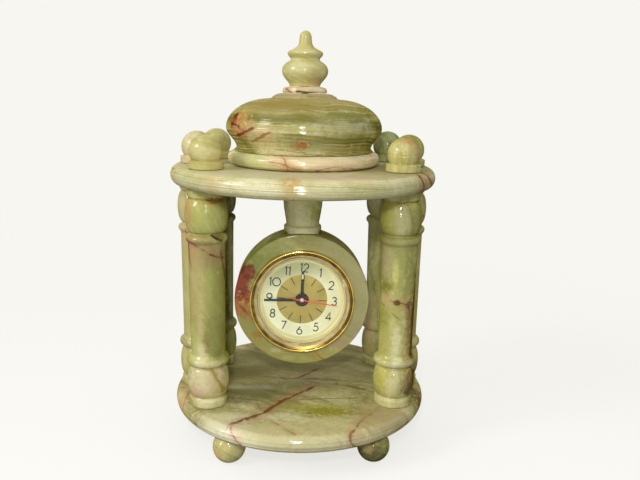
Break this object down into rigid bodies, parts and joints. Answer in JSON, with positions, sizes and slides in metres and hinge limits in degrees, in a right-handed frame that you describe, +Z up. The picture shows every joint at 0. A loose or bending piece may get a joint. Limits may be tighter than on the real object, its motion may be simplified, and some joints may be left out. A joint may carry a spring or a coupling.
{
  "type": "pillar table clock",
  "caption": "Onyx pillar clock: turned pillars between two round discs, a domed top with ball finials, and a quartz insert in a stone drum hung under the top.",
  "frame": {"origin": "centre of the plane that the four feet stand on, under the middle of the base", "axes": "+Z up through the finial, the dial faces -Y, +X to the viewer's right"},
  "size_m": [0.1734, 0.1734, 0.2672],
  "materials": {
    "onyx": "polished",
    "onyx_pale": "polished",
    "onyx_green": "polished",
    "onyx_pink": "polished",
    "gold": "polished",
    "pale_gold": "satin",
    "steel": "satin",
    "brass": "satin",
    "lens": "clear",
    "dial": "satin",
    "case_black": "matte",
    "hand_black": "satin",
    "hand_red": "satin",
    "rubber": "matte"
  },
  "bodies": {
    "clock_frame": {"foot_front_left": "onyx_green", "foot_front_right": "onyx_green", "foot_back_left": "onyx_green", "foot_back_right": "onyx_green", "base_disc": "onyx_pale", "top_disc": "onyx_pale", "pillar_right": "onyx", "ball_finial_right": "onyx", "tie_rod_right": "steel", "rod_nut_right": "steel", "pillar_back_right": "onyx", "ball_finial_back_right": "onyx", "tie_rod_back_right": "steel", "rod_nut_back_right": "steel", "pillar_back_left": "onyx_green", "ball_finial_back_left": "onyx", "tie_rod_back_left": "steel", "rod_nut_back_left": "steel", "pillar_left": "onyx", "ball_finial_left": "onyx", "tie_rod_left": "steel", "rod_nut_left": "steel", "pillar_front_left": "onyx_green", "ball_finial_front_left": "onyx", "tie_rod_front_left": "steel", "rod_nut_front_left": "steel", "pillar_front_right": "onyx", "ball_finial_front_right": "onyx", "tie_rod_front_right": "steel", "rod_nut_front_right": "steel", "dome_base_ring": "onyx_pink", "dome": "onyx_green", "finial_collar": "onyx_pink", "dome_finial": "onyx", "hanging_stem": "onyx", "clock_drum": "onyx", "centre_rod": "steel"},
    "clock_insert": {"bezel": "gold", "lens": "lens", "reflector_ring": "pale_gold", "dial": "dial", "movement_case": "case_black", "seating_ring": "rubber", "battery": "steel"},
    "minute_hand": {"minute_hand": "hand_black", "minute_arbor": "brass"},
    "hour_hand": {"hour_hand": "hand_black", "hour_tube": "brass"},
    "second_hand": {"second_hand": "hand_red", "second_cap": "steel"},
    "set_knob": {"set_knob": "case_black"},
    "battery_cover": {"battery_cover": "case_black"}
  },
  "joints": [
    {"name": "insert_slide", "type": "slide", "parent": "clock_frame", "child": "clock_insert", "axis": [0, -1, 0], "range_m": [0, 0.04]},
    {"name": "minute_turn", "type": "hinge", "parent": "clock_insert", "child": "minute_hand", "pos_m": [0, -0.012, 0.092], "axis": [0, 1, 0], "continuous": true},
    {"name": "hour_turn", "type": "hinge", "parent": "clock_insert", "child": "hour_hand", "pos_m": [0, -0.012, 0.092], "axis": [0, 1, 0], "continuous": true},
    {"name": "second_turn", "type": "hinge", "parent": "clock_insert", "child": "second_hand", "pos_m": [0, -0.012, 0.092], "axis": [0, 1, 0], "continuous": true},
    {"name": "knob_turn", "type": "hinge", "parent": "clock_insert", "child": "set_knob", "pos_m": [0, 0.008, 0.092], "axis": [0, 1, 0], "continuous": true},
    {"name": "cover_slide", "type": "slide", "parent": "clock_insert", "child": "battery_cover", "axis": [0, 1, 0], "range_m": [0, 0.012]}
  ],
  "couplings": [
    {"joint": "hour_turn", "follows": "minute_turn", "ratio": 0.083333},
    {"joint": "knob_turn", "follows": "minute_turn", "ratio": 1}
  ]
}
